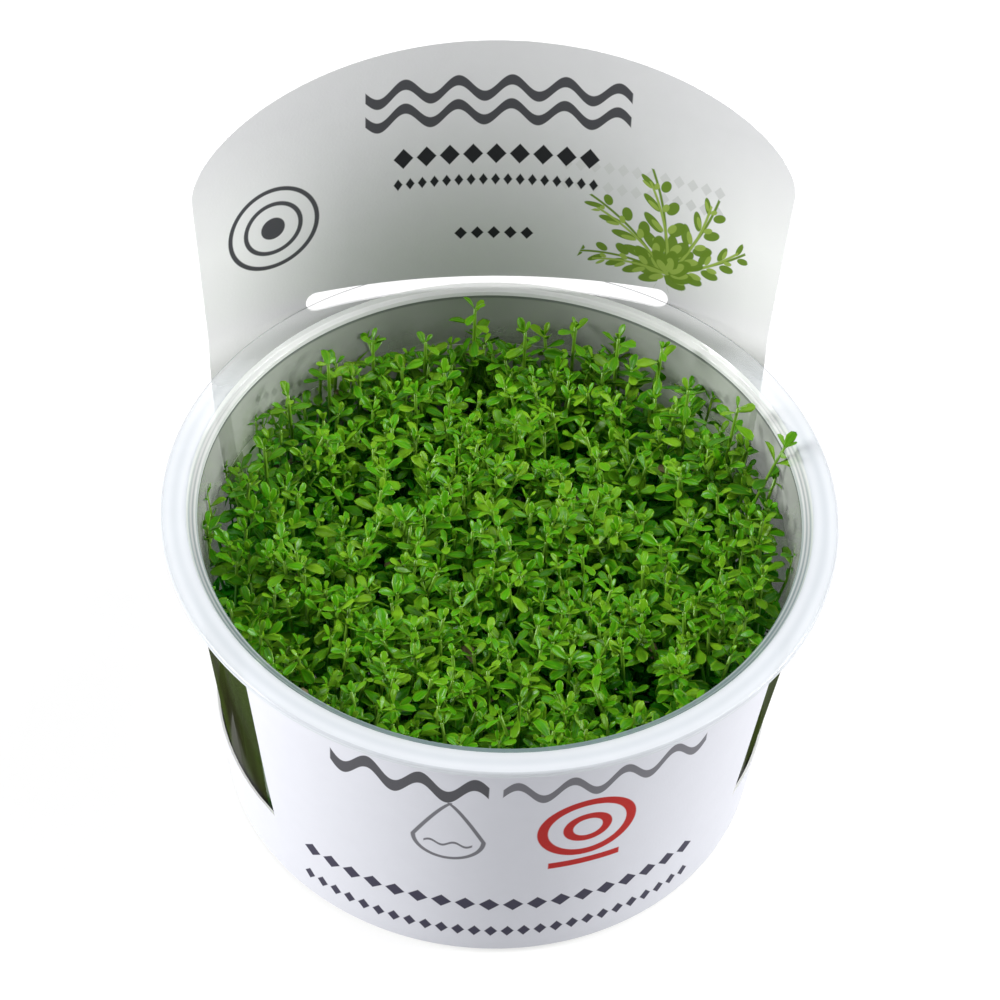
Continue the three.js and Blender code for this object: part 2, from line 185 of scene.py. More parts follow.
# Greens of the plants. A leaf's are young, old, and light for its rim and midrib; the rim's lighter colour
# is partly a pale margin and partly painted rim light
# Painted shade: the saturated green of the light deep in the mat, put on leaves and stems
PAINTED_SHADE_GREEN = (0.018, 0.36, 0.002)
WITHERED_BROWN = (0.13, 0.11, 0.05)
LEAF_GREENS = ((0.070, 0.30, 0.002), (0.003, 0.14, 0.0003), (0.22, 0.42, 0.016))
SHOOT_GREENS = ((0.080, 0.26, 0.003), (0.008, 0.13, 0.0005), (0.18, 0.35, 0.012))
STEM_GREENS = ((0.08, 0.24, 0.008), (0.21, 0.40, 0.03))

# Pairs of leaves down a stem: distance below its tip, leaf length, and rise over level in degrees
LEAF_LEVELS = ((0.1, 2.0, 55), (0.8, 3.0, 32), (2.6, 3.7, 20), (5.4, 3.9, 8), (8.8, 4.0, 2), (12.4, 3.8, -6))
DEEP_LEVELS = ((16, 3.6, 0), (20, 3.5, -10), (24.5, 3.4, -15), (29, 3.2, -15))
SHOOT_LEVELS = (
    (0.1, 2.2, 50), (1.0, 3.1, 30), (3.3, 3.8, 14), (6.4, 4.1, 6),
    (9.8, 4.1, 3), (13.4, 4.0, 0), (17.2, 3.8, 0),
)

# Where the mat is higher or lower: its middle's x and y, spread and rise in millimetres
SWELLS = (
    (-34, 26, 12, -2.0),
    (13, 37, 10, 3.4),
    (-18, 36, 6, 2.8),
    (31, 26, 8, 2.8),
    (38, 12, 6, 2.2),
)

# Each tall shoot: azimuth in degrees from the header towards +X, distance from the axis, height of its
# tip over the flange, and how far its tip leans outwards
SHOOTS = (
    (-3, 39, 2.5, 0.5),
    (9, 37, 0.5, -0.5),
    (20, 39, 0, 1),
    (31, 38.5, 1.5, 0.5),
    (42, 38.5, 3.5, 1),
    (54, 37, 2, 0),
    (66, 39, 3.5, 1.5),
    (78, 39.5, 2.5, 5),
    (92, 39, -2.5, 0.5),
    (-15, 38, -2, 0),
    (-27, 39.5, -0.5, 0.5),
    (-39, 39.5, -1, 0.5),
    (-51, 39.5, -2, 1),
    (-66, 38, -3, 0.5),
    (125, 33, -3, -1),
    (-100, 30, -3, 1),
    (10, 21, -2.5, -1),
    (-150, 26, -3, 1),
    (80, 14, -2.5, 1),
    (178, 35, -3, -0.5),
)

# Soft boxes, in metres and watts: name, place and power
LIGHT_SIZE = 0.35
LIGHTS = (
    ("left_box", (-0.78, -0.08, 0.45), 9.2),
    ("right_box", (0.78, -0.04, 0.45), 6.8),
    ("right_high_box", (0.5, 0.05, 0.8), 3.0),
    ("top_box", (0.0, 0.0, 0.9), 1.0),
)


def smoothstep(value, low, high):
    """0 below low, 1 above high, and a smooth rise between"""
    t = min(1.0, max(0.0, (value - low) / (high - low)))
    return t * t * (3 - 2 * t)


def mix(a, b, t):
    """A straight change from a at t 0 to b at t 1"""
    return a + (b - a) * t


def even_steps(a, b, count):
    """Values from a to b with count equal steps between them"""
    return [mix(a, b, i / count) for i in range(count + 1)]


# Meshes

def make_piece(name, corners, faces, materials, nodes):
    """A mesh from corners in millimetres, riding on the root body in place of the CAD nodes"""
    mesh = bpy.data.meshes.new(name)
    mesh.from_pydata((np.asarray(corners, float) * MM).tolist(), [], faces)
    mesh.validate()
    mesh.update()
    for material in materials:
        mesh.materials.append(material)
    mesh.polygons.foreach_set("use_smooth", [True] * len(mesh.polygons))
    piece = bpy.data.objects.new(name, mesh)
    bpy.context.scene.collection.objects.link(piece)
    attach(piece, "root")
    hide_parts(*nodes)
    return piece


def filleted(points, steps=4):
    """Points of radius, height and fillet radius as a profile whose corners are rounded by arcs"""
    profile = []
    for i, (r, z, fillet) in enumerate(points):
        here = Vector((r, z))
        if fillet == 0 or i in (0, len(points) - 1):
            profile.append((r, z))
            continue
        before = (Vector(points[i - 1][:2]) - here).normalized()
        after = (Vector(points[i + 1][:2]) - here).normalized()
        half = before.angle(after) / 2
        reach = fillet / math.tan(half)
        centre = here + (before + after).normalized() * fillet / math.sin(half)
        start = here + before * reach - centre
        end = here + after * reach - centre
        sweep = start.angle_signed(end)
        for step in range(steps + 1):
            turn = Matrix.Rotation(-sweep * step / steps, 2)
            arc = centre + turn @ start
            profile.append((arc.x, arc.y))
    return profile


def turned(profile, segments):
    """Corners and faces of a closed solid of revolution; the profile starts and ends on the axis"""
    ring = profile[1:-1]
    corners = [(0, 0, profile[0][1]), (0, 0, profile[-1][1])]
    for r, z in ring:
        for i in range(segments):
            angle = TURN * i / segments
            corners.append((r * math.cos(angle), r * math.sin(angle), z))
    faces = []

    def at(row, i):
        return 2 + row * segments + i % segments

    for i in range(segments):
        faces.append((0, at(0, i + 1), at(0, i)))
        faces.append((1, at(len(ring) - 1, i), at(len(ring) - 1, i + 1)))
        for row in range(len(ring) - 1):
            faces.append((at(row, i), at(row, i + 1), at(row + 1, i + 1), at(row + 1, i)))
    return corners, faces


# Materials

def new_material(name):
    """A material with one shader, its node tree and that shader"""
    material = bpy.data.materials.new(name)
    material.use_nodes = True
    tree = material.node_tree
    tree.nodes.clear()
    output = tree.nodes.new("ShaderNodeOutputMaterial")
    shader = tree.nodes.new("ShaderNodeBsdfPrincipled")
    tree.links.new(shader.outputs[0], output.inputs["Surface"])
    return material, tree, shader


class Field:
    """A number that varies over a surface: arithmetic on it adds maths nodes"""

    def __init__(self, tree, socket):
        self.tree = tree
        self.socket = socket

    def maths(self, operation, *others):
        """A maths node on this field and other fields or numbers"""
        node = self.tree.nodes.new("ShaderNodeMath")
        node.operation = operation
        for i, value in enumerate((self, *others)):
            if isinstance(value, Field):
                self.tree.links.new(value.socket, node.inputs[i])
            else:
                node.inputs[i].default_value = value
        return Field(self.tree, node.outputs[0])

    def __add__(self, other):
        return self.maths("ADD", other)

    def __sub__(self, other):
        return self.maths("SUBTRACT", other)

    def __mul__(self, other):
        return self.maths("MULTIPLY", other)

    def __truediv__(self, other):
        return self.maths("DIVIDE", other)

    def __abs__(self):
        return self.maths("ABSOLUTE")

    def clamp(self):
        """Held between 0 and 1"""
        return self.maths("MAXIMUM", 0.0).maths("MINIMUM", 1.0)

    def either(self, other):
        """The larger; of a distance and a clip, what both cover"""
        return self.maths("MAXIMUM", other)

    def both(self, other):
        """The smaller; of two distances, what at least one covers"""
        return self.maths("MINIMUM", other)

    def inside(self):
        """1 where this distance is below zero, 0 where it is above"""
        return (self * (-0.5 / INK_EDGE) + 0.5).clamp()


def mixed(tree, factor, low, high):
    """A colour between two, each a plain colour or a socket"""
    node = tree.nodes.new("ShaderNodeMix")
    node.data_type = "RGBA"
    tree.links.new(factor.socket, node.inputs["Factor"])
    for key, value in ((6, low), (7, high)):
        if isinstance(value, tuple):
            node.inputs[key].default_value = (*value, 1.0)
        else:
            tree.links.new(value, node.inputs[key])
    return node.outputs[2]


def noise(tree, scale, detail=3.0, coordinates=None):
    """Soft noise, 0 to 1, at a scale in bumps per metre"""
    node = tree.nodes.new("ShaderNodeTexNoise")
    node.inputs["Scale"].default_value = scale
    node.inputs["Detail"].default_value = detail
    if coordinates is None:
        coordinates = tree.nodes.new("ShaderNodeTexCoord").outputs["Object"]
    tree.links.new(coordinates, node.inputs["Vector"])
    return Field(tree, node.outputs["Fac"])


def bump(tree, shader, height, distance, strength=1.0):
    """Bends the shader's normal by a height field"""
    node = tree.nodes.new("ShaderNodeBump")
    node.inputs["Strength"].default_value = strength
    node.inputs["Distance"].default_value = distance
    tree.links.new(height.socket, node.inputs["Height"])
    tree.links.new(node.outputs["Normal"], shader.inputs["Normal"])


def places(tree):
    """The place on the piece in metres, as three fields"""
    split = tree.nodes.new("ShaderNodeSeparateXYZ")
    tree.links.new(tree.nodes.new("ShaderNodeTexCoord").outputs["Object"], split.inputs[0])
    return [Field(tree, split.outputs[i]) for i in range(3)]


def streaks(tree):
    """Soft upright streaks in the painted shade of the windows, 0 to 1"""
    stretch = tree.nodes.new("ShaderNodeMapping")
    stretch.inputs["Scale"].default_value = (1, 1, 0.12)
    tree.links.new(tree.nodes.new("ShaderNodeTexCoord").outputs["Object"], stretch.inputs["Vector"])
    return (noise(tree, 170, 2.0, stretch.outputs["Vector"]) * 2.8 - 0.95).clamp()


def below(tree, high, low):
    """0 above one height in millimetres, 1 below another, and a straight change between"""
    return (places(tree)[2] * (-1 / ((high - low) * MM)) + high / (high - low)).clamp()


def mirrored_mat(tree):
    """Soft blotches where the band over the shoulder mirrors the mat, more of them lower down, 0 to 1"""
    shoulder = CUP_HEIGHT - SHOULDER_DROP
    return (below(tree, CUP_HEIGHT, shoulder) * 1.2 + noise(tree, 220, 3.0) * 1.4 - 1.4).clamp()


def painted_shade_in_mat(tree):
    """Where the painted shade of the mat's depths goes: 0 at the mat's top, 1 deep in it"""
    return below(tree, DEEP_START, DEEP_END)


def painted_shade_low_in_cup(tree):
    """0 high on the cup's wall, where the card shows through, 1 low down, where the wall carries painted
    dark green shade of the mat
    """
    return below(tree, ROWS_FOOT, ROWS_FOOT - 4)


def ring_waves(tree, pitch, shift=0.0):
    """Concentric waves round the cup's axis, -1 to 1, their pitch in millimetres"""
    x, y = places(tree)[:2]
    radius = (x * x + y * y).maths("SQRT")
    return (radius * (TURN / (pitch * MM)) + shift).maths("SINE")


def mouth_lines(tree):
    """Fine rings of painted refraction shade round the mouth on the side of the front panel, 0 to 1"""
    towards_front = places(tree)[1] * (-1 / (FLANGE_RADIUS * MM))
    return (towards_front + 0.35 + ring_waves(tree, MOUTH_RING_PITCH) * 0.3).clamp()


def flange_bands(tree):
    """Broad soft rings on the flange, 0 to 0.6"""
    return (ring_waves(tree, FLANGE_BAND_PITCH, 1.0) * 0.5 + 0.5) * 0.6


def dashes(tree):
    """Where the painted highlight on the shoulder is broken, 0 to 1"""
    return (noise(tree, 60, 1.0) * 8.0 - 3.7).clamp()


def nearer_header(tree):
    """0 at the front and sides of the flange, 1 at the header"""
    return (places(tree)[1] * (1 / (20 * MM)) - 0.6).clamp()


def see_through(name, colour, clear, grazing, roughness, gloss=0.5, ripple=0.0, tint=None, thin=None):
    """Moulded film: how much it hides face on, and seen along its surface; ripple is the height in
    millimetres of its faint concentric mould lines, tint a second colour and where it is, and thin a
    share of its cover that is lost and where"""
    material, tree, shader = new_material(name)
    waves = noise(tree, 90, 2.0)
    shade = mixed(tree, waves, colour, tuple(0.9 * c for c in colour))
    if tint:
        shade = mixed(tree, tint[1](tree), shade, tint[0])
    tree.links.new(shade, shader.inputs["Base Color"])
    layer = tree.nodes.new("ShaderNodeLayerWeight")
    layer.inputs["Blend"].default_value = FILM_BLEND
    facing = Field(tree, layer.outputs["Facing"])
    alpha = facing * (grazing - clear) + clear
    if thin:
        alpha = alpha * (thin[1](tree) * -thin[0] + 1.0)
    tree.links.new(alpha.socket, shader.inputs["Alpha"])
    shader.inputs["Roughness"].default_value = roughness
    shader.inputs["IOR"].default_value = FILM_IOR
    shader.inputs["Specular IOR Level"].default_value = gloss
    height = waves * (FILM_WAVES * MM)
    if ripple:
        height = height + ring_waves(tree, RIPPLE_PITCH) * (ripple * MM)
    bump(tree, shader, height, 1.0)
    return material


def leaf_material(name, young, old, light):
    """Wet green leaf: colour by age, by leaf, and lighter towards the rim and the midrib, the rim partly by
    painted rim light; saturated green deep in the mat by painted shade
    """
    material, tree, shader = new_material(name)
    attribute = tree.nodes.new("ShaderNodeAttribute")
    attribute.attribute_name = "leaf"
    split = tree.nodes.new("ShaderNodeSeparateColor")
    tree.links.new(attribute.outputs["Color"], split.inputs[0])
    tone = Field(tree, split.outputs[0])
    age = Field(tree, split.outputs[1])
    edge = Field(tree, split.outputs[2])
    green = mixed(tree, age.clamp(), young, old)
    green = mixed(tree, (tone * 1.6 - 0.8).clamp(), green, light)
    blotch = noise(tree, 700, 2.0)
    green = mixed(tree, (blotch * 1.4 - 0.45).clamp() * 0.5, green, old)
    # Lighter rim: partly the leaf's pale margin, partly painted rim light
    rim = edge.maths("POWER", 4.0) * 0.8
    rib = (edge * -7.0 + 1.0).clamp() * 0.3
    green = mixed(tree, rim.either(rib), green, light)
    # Painted shade: leaves turn saturated green deep in the mat
    green = mixed(tree, painted_shade_in_mat(tree) * 0.85, green, PAINTED_SHADE_GREEN)
    withered = age.maths("GREATER_THAN", WITHERED_AGE - 0.5)
    green = mixed(tree, withered, green, WITHERED_BROWN)
    tree.links.new(green, shader.inputs["Base Color"])
    shader.inputs["Roughness"].default_value = 0.3
    shader.inputs["Specular IOR Level"].default_value = 0.22
    bump(tree, shader, noise(tree, 1600, 2.0), 0.0001, 0.5)
    return material


def painted_header_light(x, y):
    """Where painted light makes the header nearer white: 1 at its lower sides, 0.9 at its foot, 0 elsewhere
    """
    out = ((abs(x) - WHITER_SIDE) / WHITER_SPREAD).clamp()
    down = ((y * -1.0 + WHITER_TOP) / WHITER_SPREAD).clamp()
    foot = ((y * -1.0 + WHITER_FOOT) / WHITER_FOOT_SPREAD).clamp() * 0.9
    return (out * down).either(foot)


def printed_card(name, white, motifs=None, painted_light_white=None):
    """Coated white card; motifs draws on its colour from places on the flat card in millimetres, and
    the last argument is the colour of painted light towards its lower sides and foot"""
    material, tree, shader = new_material(name)
    mottle = noise(tree, 350)
    shade = mixed(tree, mottle, white, tuple(0.96 * c for c in white))
    if motifs:
        flat = tree.nodes.new("ShaderNodeUVMap")
        flat.uv_map = "print"
        split = tree.nodes.new("ShaderNodeSeparateXYZ")
        tree.links.new(flat.outputs[0], split.inputs[0])
        x = Field(tree, split.outputs[0]) / PRINT_UNIT
        y = Field(tree, split.outputs[1]) / PRINT_UNIT
        # Painted light: the header is lighter at its lower sides and at its foot
        if painted_light_white:
            shade = mixed(tree, painted_header_light(x, y), shade, painted_light_white)
        for distance, ink in motifs(x, y):
            shade = mixed(tree, distance.inside() * INK_COVER, shade, ink)
    tree.links.new(shade, shader.inputs["Base Color"])
    shader.inputs["Roughness"].default_value = 0.45
    shader.inputs["Specular IOR Level"].default_value = 0.06
    bump(tree, shader, noise(tree, 2500, 2.0), 0.00004, 0.4)
    return material


# Printed motifs: each is a distance in millimetres, below zero inside the ink

def bar(x, y, half_width, half_height):
    """A rectangle"""
    return (abs(x) - half_width).either(abs(y) - half_height)


def disc(x, y, radius):
    """A filled circle"""
    return (x * x + y * y).maths("SQRT") - radius


def outline(distance, thickness):
    """A line along a motif's edge"""
    return abs(distance) - thickness / 2


def wave(x, y, half_length, height, length, thickness):
    """A thick wavy line"""
    crest = (x * (TURN / length)).maths("SINE") * height
    return outline(y - crest, thickness).either(abs(x) - half_length)


def lozenge_row(x, y, count, pitch, half_width, half_height):
    """Lozenges side by side"""
    cell = (x + pitch / 2 * (count % 2)).maths("WRAP", pitch, 0.0) - pitch / 2
    lozenge = (abs(cell) / half_width + abs(y) / half_height - 1.0) * min(half_width, half_height)
    return lozenge.either(abs(x) - count * pitch / 2)


def droplet(x, y, radius):
    """A drop with its point upwards"""
    rise = (y / (1.9 * radius)).clamp()
    narrowed = (rise * -1.0 + 1.0).maths("POWER", 0.8) * radius
    low = y.both(0.0)
    return (disc(x, low, 0.0) - narrowed).either(y - 1.9 * radius)


def sprig(x, y, foot, angle, length, leaf, pitch):
    """A curved stem with pairs of slanting leaves that get smaller towards its tip"""
    turn = math.radians(angle)
    dx, dy = x - foot[0], y - foot[1]
    along = dx * math.cos(turn) + dy * math.sin(turn)
    across = dy * math.cos(turn) - dx * math.sin(turn)
    across = across - along * along * (0.25 / length)
    taper = along * (-0.55 / length) + 1.0
    cell = along.maths("WRAP", pitch, 0.0) - pitch * 0.45
    out = abs(across) - taper * (leaf * 0.62)
    slant = math.radians(42)
    u = (cell * math.cos(slant) + out * math.sin(slant)) / taper
    v = (out * math.cos(slant) - cell * math.sin(slant)) / taper
    leaves = disc(u * (1 / leaf), v * (2.3 / leaf), 0.62) * (leaf / 2)
    stem = abs(across) - 0.22
    return leaves.both(stem).either(abs(along - length / 2) - length / 2)


def header_motifs(x, y):
    """Waves over rows of lozenges, a ripple and a sprig of paired leaves; faint rows as of print that
    shows through from the other side, and two rows below the slot that are seen through the cup"""
    for z in (80, 76.2):
        yield lozenge_row(x - 24, y - z, 12, 2.2, 0.9, 1.2), GHOST_INK
    for z in (42.0, 39.2):
        yield lozenge_row(x + 24, y - z, 20, 1.5, 0.55, 0.9), BLACK_INK
        yield lozenge_row(x - 37, y - z, 6, 1.5, 0.55, 0.9), BLACK_INK
    for z in (93.6, 89.2):
        yield wave(x - 1, y - z, 20.4, 1.5, 8.16, 1.9), DARK_INK
    yield lozenge_row(x - 1, y - 81.3, 9, 3.6, 1.55, 1.9), BLACK_INK
    yield lozenge_row(x - 1, y - 76.4, 17, 1.9, 0.7, 1.1), BLACK_INK
    yield lozenge_row(x - 1, y - 66, 5, 2.6, 1.0, 1.2), BLACK_INK
    ripple = (x + 34.5, y - 73.5)
    for radius in (7.3, 4.6):
        yield outline(disc(*ripple, radius), 0.75), DARK_INK
    yield disc(*ripple, 2.0), DARK_INK
    for foot, angle, length, leaf, pitch in SPRIGS:
        yield sprig(x, y, foot, angle, length, leaf, pitch), SPRIG_INK
        yield sprig(x - 0.7, y + 0.3, foot, angle + 4, length * 0.9, leaf * 0.62, pitch), PALE_SPRIG_INK


def front_motifs(x, y):
    """A two-tone wave, a drop, a red roundel and two rows of lozenges"""
    yield wave(x + 17, y - 46.2, 12, 2.0, 8, 3.0), DARK_INK
    yield wave(x - 13, y - 46.2, 16, 1.9, 8, 2.1), GREY_INK
    drop = (x + 10.5, y - 32.5)
    yield outline(droplet(*drop, 5.2), 0.7), GREY_INK
    yield wave(drop[0], drop[1] + 1.2, 3.6, 0.5, 3.6, 0.6), GREY_INK
    for radius, thickness in ((6.8, 1.6), (3.0, 1.5)):
        yield outline(disc(x - 10, y - 34.5, radius), thickness), RED_INK
    yield bar(x - 10, y - 25.0, 5.5, 0.8), RED_INK
    yield lozenge_row(x + 2, y - 14.5, 18, 3.6, 1.55, 1.7), NIGHT_INK
    yield lozenge_row(x + 2, y - 6.5, 26, 2.5, 1.0, 1.5), NIGHT_INK


# Camera, lights and floor

def add_camera():
    """The camera at the photograph's place"""
    elevation = math.radians(CAMERA_ELEVATION)
    roll = math.radians(CAMERA_ROLL)
    back = Vector((0, -math.cos(elevation), math.sin(elevation)))
    level = Vector((1, 0, 0))
    rise = back.cross(level)
    right = level * math.cos(roll) + rise * math.sin(roll)
    up = rise * math.cos(roll) - level * math.sin(roll)
    aim = level * CAMERA_AIM_RIGHT + rise * CAMERA_AIM_UP + Vector((0, 0, CUP_HEIGHT))
    eye = aim + back * CAMERA_DISTANCE
    turn = Matrix.Rotation(math.radians(CAMERA_TURN), 4, "Z")
    axes = Matrix((right, up, back)).transposed().to_4x4()
    data = bpy.data.cameras.new("camera")
    data.sensor_width = SENSOR_WIDTH
    data.lens = CAMERA_FOCAL_PIXELS / FRAME_PIXELS * SENSOR_WIDTH
    camera = bpy.data.objects.new("camera", data)
    camera.matrix_world = turn @ Matrix.Translation(eye * MM) @ axes
    bpy.context.scene.collection.objects.link(camera)
    bpy.context.scene.camera = camera


def add_area_light(name, place, power):
    """A square soft box at a place in metres, facing the cup"""
    data = bpy.data.lights.new(name, "AREA")
    data.shape = "RECTANGLE"
    data.size = LIGHT_SIZE
    data.size_y = LIGHT_SIZE
    data.energy = power
    light = bpy.data.objects.new(name, data)
    light.location = place
    aim = Vector((0, 0, CUP_HEIGHT * MM)) - Vector(place)
    light.rotation_euler = aim.to_track_quat("-Z", "Y").to_euler()
    bpy.context.scene.collection.objects.link(light)


def add_stage():
    """Soft boxes, a dim sky and a white light table"""
    world = bpy.data.worlds.new("studio")
    world.use_nodes = True
    sky = world.node_tree.nodes["Background"]
    sky.inputs["Color"].default_value = (0.95, 0.97, 1.0, 1)
    sky.inputs["Strength"].default_value = 0.05
    bpy.context.scene.world = world
    bpy.context.scene.view_settings.view_transform = "Standard"
    for light in LIGHTS:
        add_area_light(*light)
    bpy.ops.mesh.primitive_plane_add(size=6, location=(0, 0, 0))
    floor = bpy.context.object
    floor.name = "floor"
    material, _, shader = new_material("light_table")
    shader.inputs["Base Color"].default_value = (0.3, 0.3, 0.3, 1)
    shader.inputs["Emission Color"].default_value = (1, 1, 1, 1)
    shader.inputs["Emission Strength"].default_value = 0.72
    shader.inputs["Roughness"].default_value = 0.9
    floor.data.materials.append(material)


# Cup and gel

def cup_profile():
    """The cup's section, from the middle of its foot round its flange to the middle of its floor"""
    top = CUP_HEIGHT
    shoulder = top - SHOULDER_DROP
    under = top - FLANGE_THICKNESS
    return filleted([
        (0, 0, 0),
        (FOOT_FLAT_RADIUS, 0, 1.2),
        (FOOT_RADIUS, 1.8, 1.5),
        (SHOULDER_RADIUS - SHOULDER_STEP, shoulder - SHOULDER_RISE, 1.5),
        (SHOULDER_RADIUS, shoulder, 0.8),
        (BAND_OUTER_RADIUS, under, 0.5),
        (FLANGE_RADIUS, under, 0.35),
        (FLANGE_RADIUS, top, 0.45),
        (MOUTH_RADIUS + 1.7, top, 0.3),
        (MOUTH_RADIUS + 1.2, top - 0.8, 0.2),
        (MOUTH_RADIUS + 0.3, top - 0.9, 0.2),
        (MOUTH_RADIUS, top - MOUTH_DROP, 0.15),
        (wall_inside(top - MOUTH_DROP - MOUTH_LINE), top - MOUTH_DROP - MOUTH_LINE, 0),
        (SHOULDER_RADIUS - WALL, shoulder, 0.8),
        (SHOULDER_RADIUS - SHOULDER_STEP - WALL, shoulder - SHOULDER_RISE, 1.2),
        (FOOT_RADIUS - WALL, FLOOR_CORNER, 1.5),
        (FOOT_RADIUS - WALL - 1.9, FLOOR, 1.2),
        (0, FLOOR, 0),
    ])


def wall_inside(z):
    """Inside radius of the cup at a height"""
    shoulder = CUP_HEIGHT - SHOULDER_DROP
    step = shoulder - SHOULDER_RISE
    if z < step:
        t = max(0.0, (z - FLOOR_CORNER) / (step - FLOOR_CORNER))
        return mix(FOOT_RADIUS, SHOULDER_RADIUS - SHOULDER_STEP, t) - WALL
    if z < shoulder:
        return SHOULDER_RADIUS - SHOULDER_STEP * (shoulder - z) / SHOULDER_RISE - WALL
    t = min(1.0, (z - shoulder) / (SHOULDER_DROP - MOUTH_DROP))
    return mix(SHOULDER_RADIUS - WALL, MOUTH_RADIUS, t)


def film_zone(x, y, z):
    """Which of the cup's finishes a place has: 0 wall, 1 flange, 2 bead round the mouth, 3 line inside the
    mouth, 4 wall in the sleeve's windows, 5 band over the shoulder, 6 the shoulder's corner, 7 rim,
    8 inside of the wall in the windows"""
    radius = math.hypot(x, y)
    if radius > FLANGE_RADIUS - 0.25 and z > CUP_HEIGHT - 0.5:
        return 7
    if radius > MOUTH_RADIUS + 1.6 and z > CUP_HEIGHT - FLANGE_THICKNESS - 0.2:
        return 1
    if z > CUP_HEIGHT - MOUTH_DROP:
        return 2
    if z > CUP_HEIGHT - MOUTH_DROP - MOUTH_LINE:
        return 3
    outer = radius > wall_inside(z) + WALL / 2
    from_front = abs(math.atan2(x, -y))
    in_window = z > STRAP_TOP and FRONT_HALF_ANGLE < from_front < WINDOW_END
    if in_window and (outer or z < CUP_HEIGHT - SHOULDER_DROP):
        return 4 if outer else 8
    if not outer and abs(z - CUP_HEIGHT + SHOULDER_DROP) < 0.5:
        return 6
    return 5 if z > CUP_HEIGHT - SHOULDER_DROP else 0


def flared(x, y, z):
    """Moves the outside of the wall outwards where the sleeve's windows leave it free, most under the
    flange"""
    radius = math.hypot(x, y)
    on_wall = wall_inside(z) + WALL / 2 < radius < BAND_OUTER_RADIUS + 0.1
    if not on_wall or not STRAP_TOP < z < CUP_HEIGHT - FLANGE_THICKNESS + 0.1:
        return x, y, z
    from_front = abs(math.atan2(x, -y))
    free = smoothstep(from_front, *FLARE_FRONT) * (1 - smoothstep(from_front, *FLARE_BACK))
    rise = smoothstep(z, FLARE_START, CUP_HEIGHT - FLANGE_THICKNESS)
    reach = free * (BULGE + rise * (FLARE_RIGHT if x > 0 else FLARE_LEFT))
    return x * (1 + reach / radius), y * (1 + reach / radius), z


def add_cup():
    """The clear cup, with a finish for each of its zones in the order of film_zone"""
    corners, faces = turned(cup_profile(), CUP_SEGMENTS)
    finishes = [
        # Clear wall, with painted dark green shade low down by the mat
        see_through("clear_wall", (0.68, 0.74, 0.60), 0.35, 0.6, 0.12,
                    tint=((0.03, 0.11, 0.008), painted_shade_low_in_cup)),
        see_through("milky_flange", (0.80, 0.83, 0.87), 0.75, 0.9, 0.3, ripple=RIPPLE_HEIGHT,
                    tint=((0.62, 0.66, 0.70), flange_bands), thin=(0.95, nearer_header)),
        # Bead round the mouth: painted highlight, white, with rings of painted shade towards the front
        see_through("mouth_bead", (0.95, 0.97, 0.95), 0.6, 0.9, 0.1,
                    tint=((0.22, 0.30, 0.31), mouth_lines)),
        # Line inside the mouth: painted shade, dark, for the refraction at the mouth's inner edge
        see_through("mouth_line", (0.20, 0.22, 0.21), 0.8, 0.95, 0.15),
        # Wall in the windows: near-black olive with lighter streaks, painted shade of the shaded inside seen
        # through it
        see_through("window_painted_shade", (0.022, 0.024, 0.009), 0.6, 0.9, 0.3, gloss=0.0,
                    tint=((0.05, 0.08, 0.015), streaks)),
        see_through("mirror_band", (0.50, 0.53, 0.48), 0.42, 0.7, 0.12,
                    tint=((0.26, 0.33, 0.18), mirrored_mat)),
        # Shoulder's corner: painted highlight, white and broken into dashes
        see_through("shoulder_painted_highlight", (0.95, 0.97, 0.95), 0.8, 0.95, 0.1,
                    tint=((0.5, 0.53, 0.46), dashes)),
        # Rim of the flange: dark towards the header by painted shade
        see_through("flange_rim", (0.76, 0.79, 0.83), 0.6, 0.8, 0.2,
                    tint=((0.22, 0.24, 0.26), nearer_header)),
        # Inside of the wall in the windows: painted reflection of the mat, darker low down by painted shade
        see_through("mirror_wall", (0.15, 0.26, 0.06), 0.5, 0.8, 0.15,
                    tint=((0.02, 0.06, 0.004), painted_shade_low_in_cup)),
    ]
    corners = [flared(*corner) for corner in corners]
    piece = make_piece("clear_cup", corners, faces, finishes, ["cup"])
    for polygon in piece.data.polygons:
        polygon.material_index = film_zone(*(polygon.center / MM))


def add_gel():
    """The layer of gel at the bottom of the cup"""
    low = FLOOR + GAP
    profile = filleted([
        (0, low, 0),
        (FOOT_RADIUS - WALL - 2.4, low, 1),
        (wall_inside(4) - GAP, 4, 2),
        (wall_inside(GEL_TOP) - GAP, GEL_TOP, 0.4),
        (0, GEL_TOP, 0),
    ])
    corners, faces = turned(profile, GEL_SEGMENTS)
    gel = see_through("nutrient_gel", (0.30, 0.32, 0.13), 0.45, 0.8, 0.1)
    make_piece("gel", corners, faces, [gel], ["medium"])


# Sleeve

def sleeve_radius(z):
    """Radius of the wrap's middle at a height"""
    return SLEEVE_FOOT_RADIUS + SLEEVE_DRAFT * (z - SLEEVE_BOTTOM)


def on_back_panel(along, z):
    """A point and outward direction on the back panel or header, from distance along the card and height"""
    rise = smoothstep(z, STRAP_TOP, CUP_HEIGHT)
    bend = mix(sleeve_radius(z), HEADER_BEND_RADIUS, rise)
    out = (math.sin(along / bend), math.cos(along / bend))
    centre = sleeve_radius(z) + HEADER_STAND_OFF * rise - bend
    return (bend * out[0], centre + bend * out[1], z), out


def on_wrap(angle, z):
    """A point and outward direction on the straps or front panel, from azimuth off the header and height"""
    radius = sleeve_radius(z)
    out = (math.sin(angle), math.cos(angle))
    return (radius * out[0], radius * out[1], z), out


def header_half_width(z):
    """Half the header's width along the card at a height"""
    t = min(1.0, max(0.0, (z - CUP_HEIGHT) / HEADER_ARCH_START))
    return mix(HEADER_FOOT_HALF_WIDTH, HEADER_HALF_WIDTH, t)


